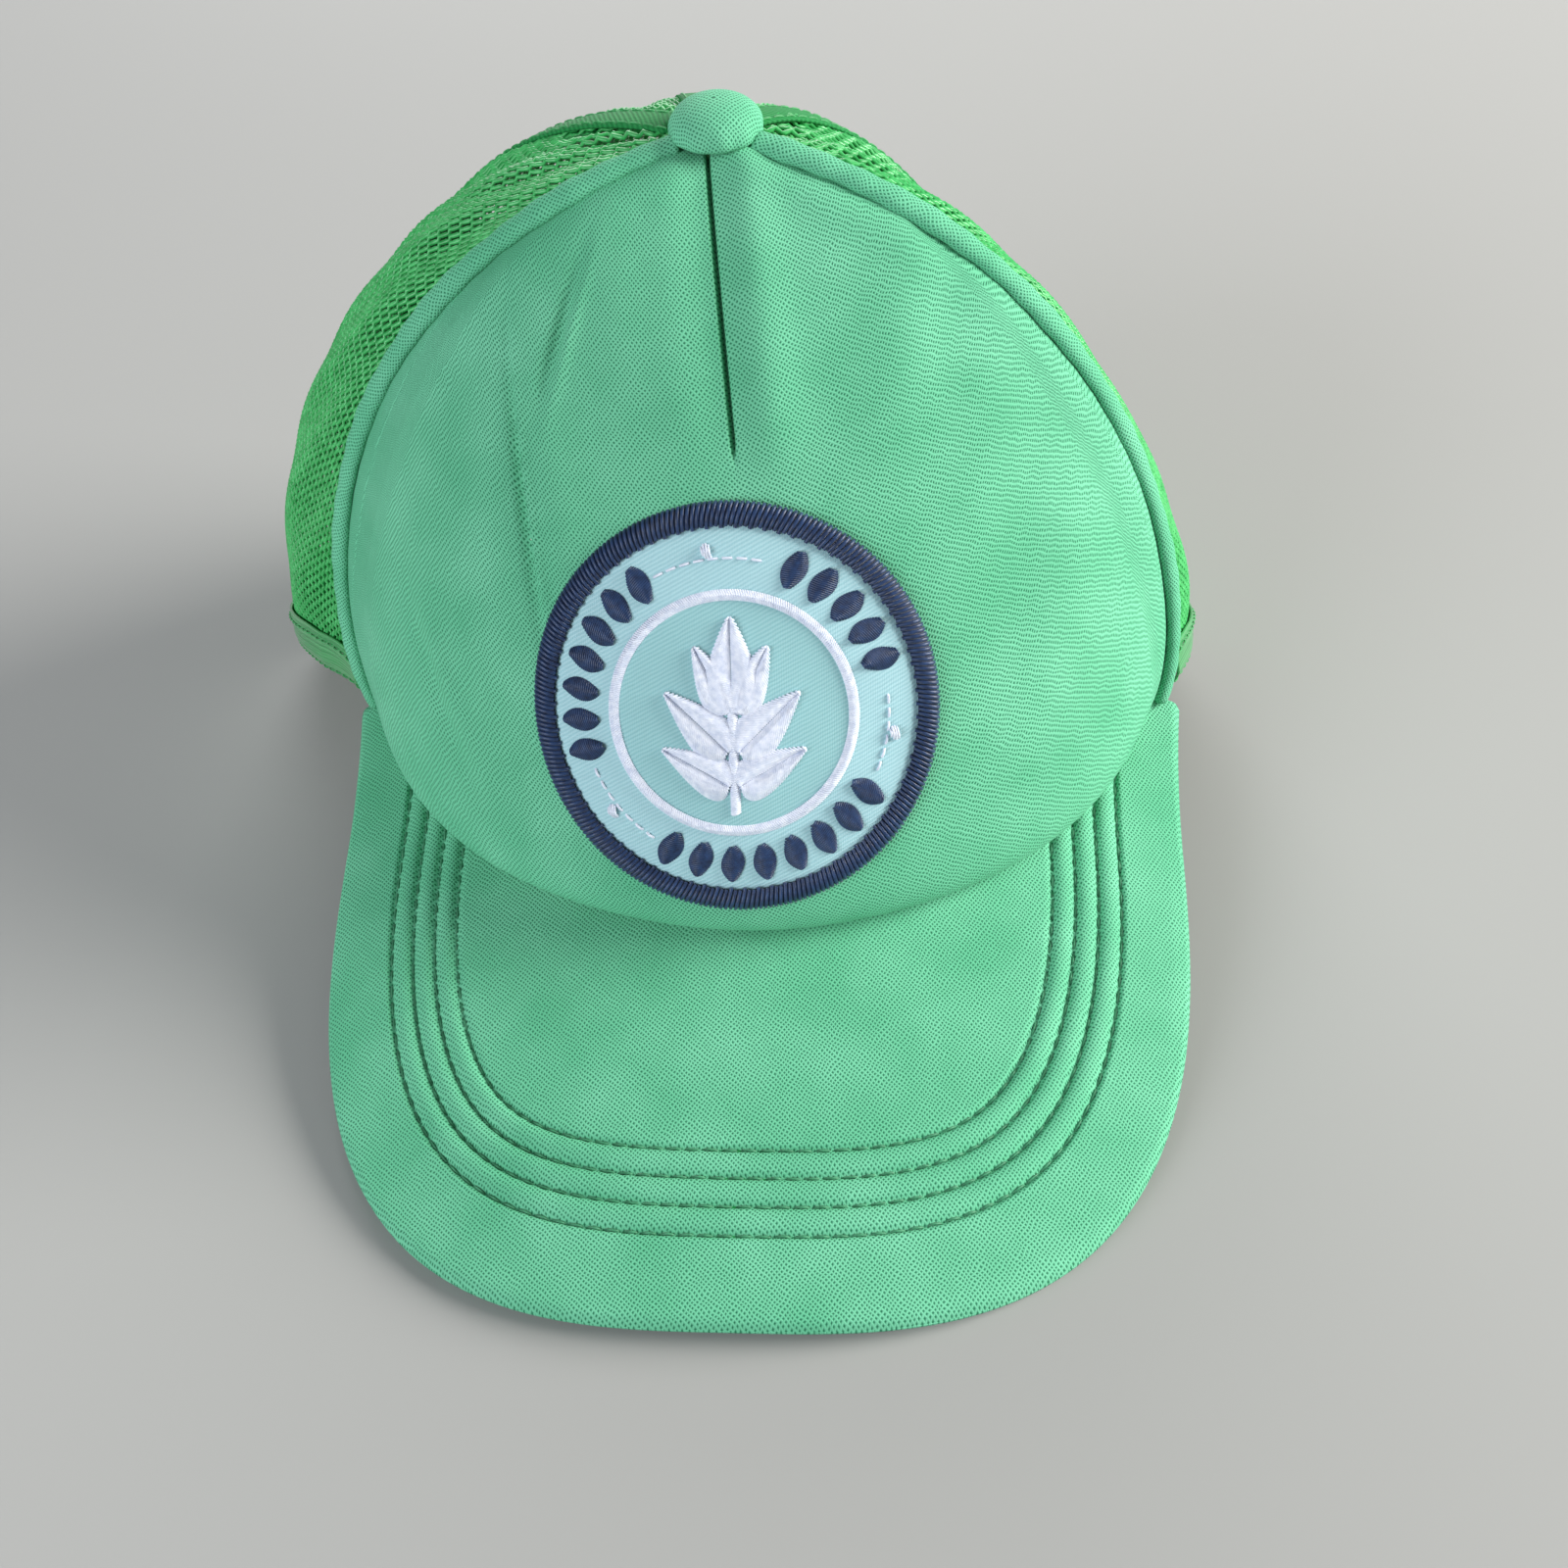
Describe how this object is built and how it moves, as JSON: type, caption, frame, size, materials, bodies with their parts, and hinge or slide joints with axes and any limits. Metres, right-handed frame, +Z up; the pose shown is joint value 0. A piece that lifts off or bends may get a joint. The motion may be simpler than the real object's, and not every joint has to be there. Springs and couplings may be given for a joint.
{
  "type": "mesh-back cap",
  "caption": "Foam-front cap with soft mesh back, curved visor, round embroidered patch, covered top button and plastic snap closure.",
  "frame": {"origin": "under the middle of the bounding box, at the level the cap rests on", "axes": "-Y is the way the visor points, +X is the right-hand side seen from in front of the visor, +Z is up towards the button"},
  "size_m": [0.2162, 0.2306, 0.1493],
  "materials": {
    "mint_tricot": "brushed knit with a soft sheen",
    "green_mesh": "stiff open knit of bright yarn",
    "green_tape": "woven tape",
    "clear_tape": "glossy monofilament tape",
    "foam": "open-cell foam",
    "visor_plastic": "matt sheet",
    "strap_plastic": "moulded, satin",
    "zinc_steel": "zinc plated",
    "ice_twill": "twill",
    "navy_thread": "overlocked thread",
    "white_thread": "satin-stitched thread"
  },
  "bodies": {
    "crown": {"back_mesh_left": "green_mesh", "back_mesh_right": "green_mesh", "back_seam_tape": "green_tape", "button_cover": "mint_tricot", "button_post": "zinc_steel", "button_shell": "zinc_steel", "button_washer": "zinc_steel", "front_cover": "mint_tricot", "front_foam": "foam", "front_seam_tape_left": "green_tape", "front_seam_tape_right": "green_tape", "hem_tape_left": "clear_tape", "hem_tape_right": "clear_tape", "hole_strap_tab": "strap_plastic", "opening_binding": "green_tape", "patch_border": "navy_thread", "patch_leaf": "white_thread", "patch_ring": "white_thread", "patch_twill": "ice_twill", "peg_strap_tab": "strap_plastic", "seam_piping_left": "mint_tricot", "seam_piping_right": "mint_tricot", "side_mesh_left": "green_mesh", "side_mesh_right": "green_mesh", "side_seam_tape_left": "green_tape", "side_seam_tape_right": "green_tape", "sweatband": "green_tape", "visor_board": "visor_plastic", "visor_top_cover": "mint_tricot", "visor_under_cover": "mint_tricot"},
    "peg_strap": {"peg_strap": "strap_plastic"},
    "hole_strap": {"hole_strap": "strap_plastic"}
  },
  "joints": [
    {"name": "hole_strap_hinge", "type": "hinge", "parent": "crown", "child": "hole_strap", "pos_m": [0.03424, 0.11159, 0.012], "axis": [0, 0, -1], "range_deg": [0, 70]},
    {"name": "peg_strap_hinge", "type": "hinge", "parent": "crown", "child": "peg_strap", "pos_m": [-0.04076, 0.11009, 0.012], "axis": [0, 0, -1], "range_deg": [0, 40]}
  ]
}
